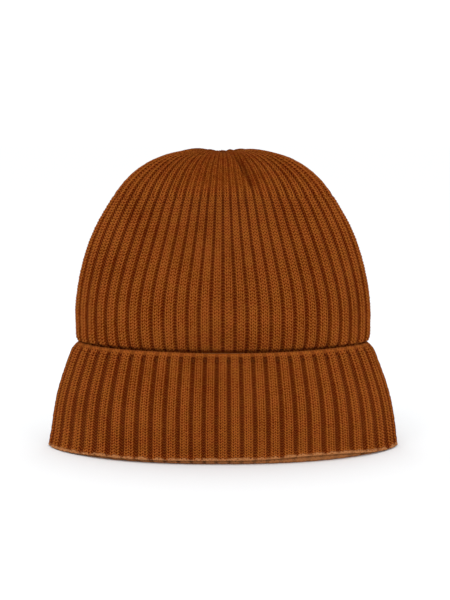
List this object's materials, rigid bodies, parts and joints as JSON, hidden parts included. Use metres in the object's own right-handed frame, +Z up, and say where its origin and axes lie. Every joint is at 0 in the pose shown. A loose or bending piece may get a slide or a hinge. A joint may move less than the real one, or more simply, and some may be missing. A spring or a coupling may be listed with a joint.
{
  "type": "cuffed knitted beanie",
  "caption": "Rib-knit beanie with a turned-up cuff, gathered at the crown and standing on its opening, with a blank care label inside.",
  "frame": {"origin": "on the surface the hat stands on, under the middle of its bounding box", "axes": "+Z up towards the gathered crown, -Y out of the front, +X towards the right side as seen from the front"},
  "size_m": [0.2338, 0.1146, 0.1993],
  "materials": {
    "rib_knit": "soft rust-brown wool rib, matt with a slight fuzz",
    "seam_yarn": "the same wool yarn, twisted",
    "label_thread": "polyester sewing thread",
    "woven_label": "blank cream satin ribbon"
  },
  "bodies": {
    "cuff": {"cuff_band": "rib_knit", "cuff_seam": "seam_yarn"},
    "crown": {"crown_side": "rib_knit", "crown_top": "rib_knit", "inner_band": "rib_knit", "gather_yarn": "seam_yarn", "gather_knot": "seam_yarn", "back_seam": "seam_yarn", "band_seam": "seam_yarn", "label_hem": "woven_label", "label_stitching": "label_thread"},
    "hem": {"cuff_hem_edge": "rib_knit"},
    "label": {"care_label": "woven_label"}
  },
  "joints": [
    {"name": "cuff_turn_down", "type": "slide", "parent": "cuff", "child": "crown", "axis": [0, 0, 1], "range_m": [0, 0.067], "deforming": ["cuff_band", "inner_band", "band_seam", "cuff_seam"]},
    {"name": "cuff_edge_run", "type": "slide", "parent": "crown", "child": "hem", "axis": [0, 0, -1], "range_m": [0, 0.134]},
    {"name": "label_flip", "type": "hinge", "parent": "crown", "child": "label", "pos_m": [0, 0.04205, 0.0587], "axis": [-1, 0, 0], "range_deg": [0, 150]}
  ],
  "couplings": [
    {"joint": "cuff_edge_run", "follows": "cuff_turn_down", "ratio": 2}
  ]
}
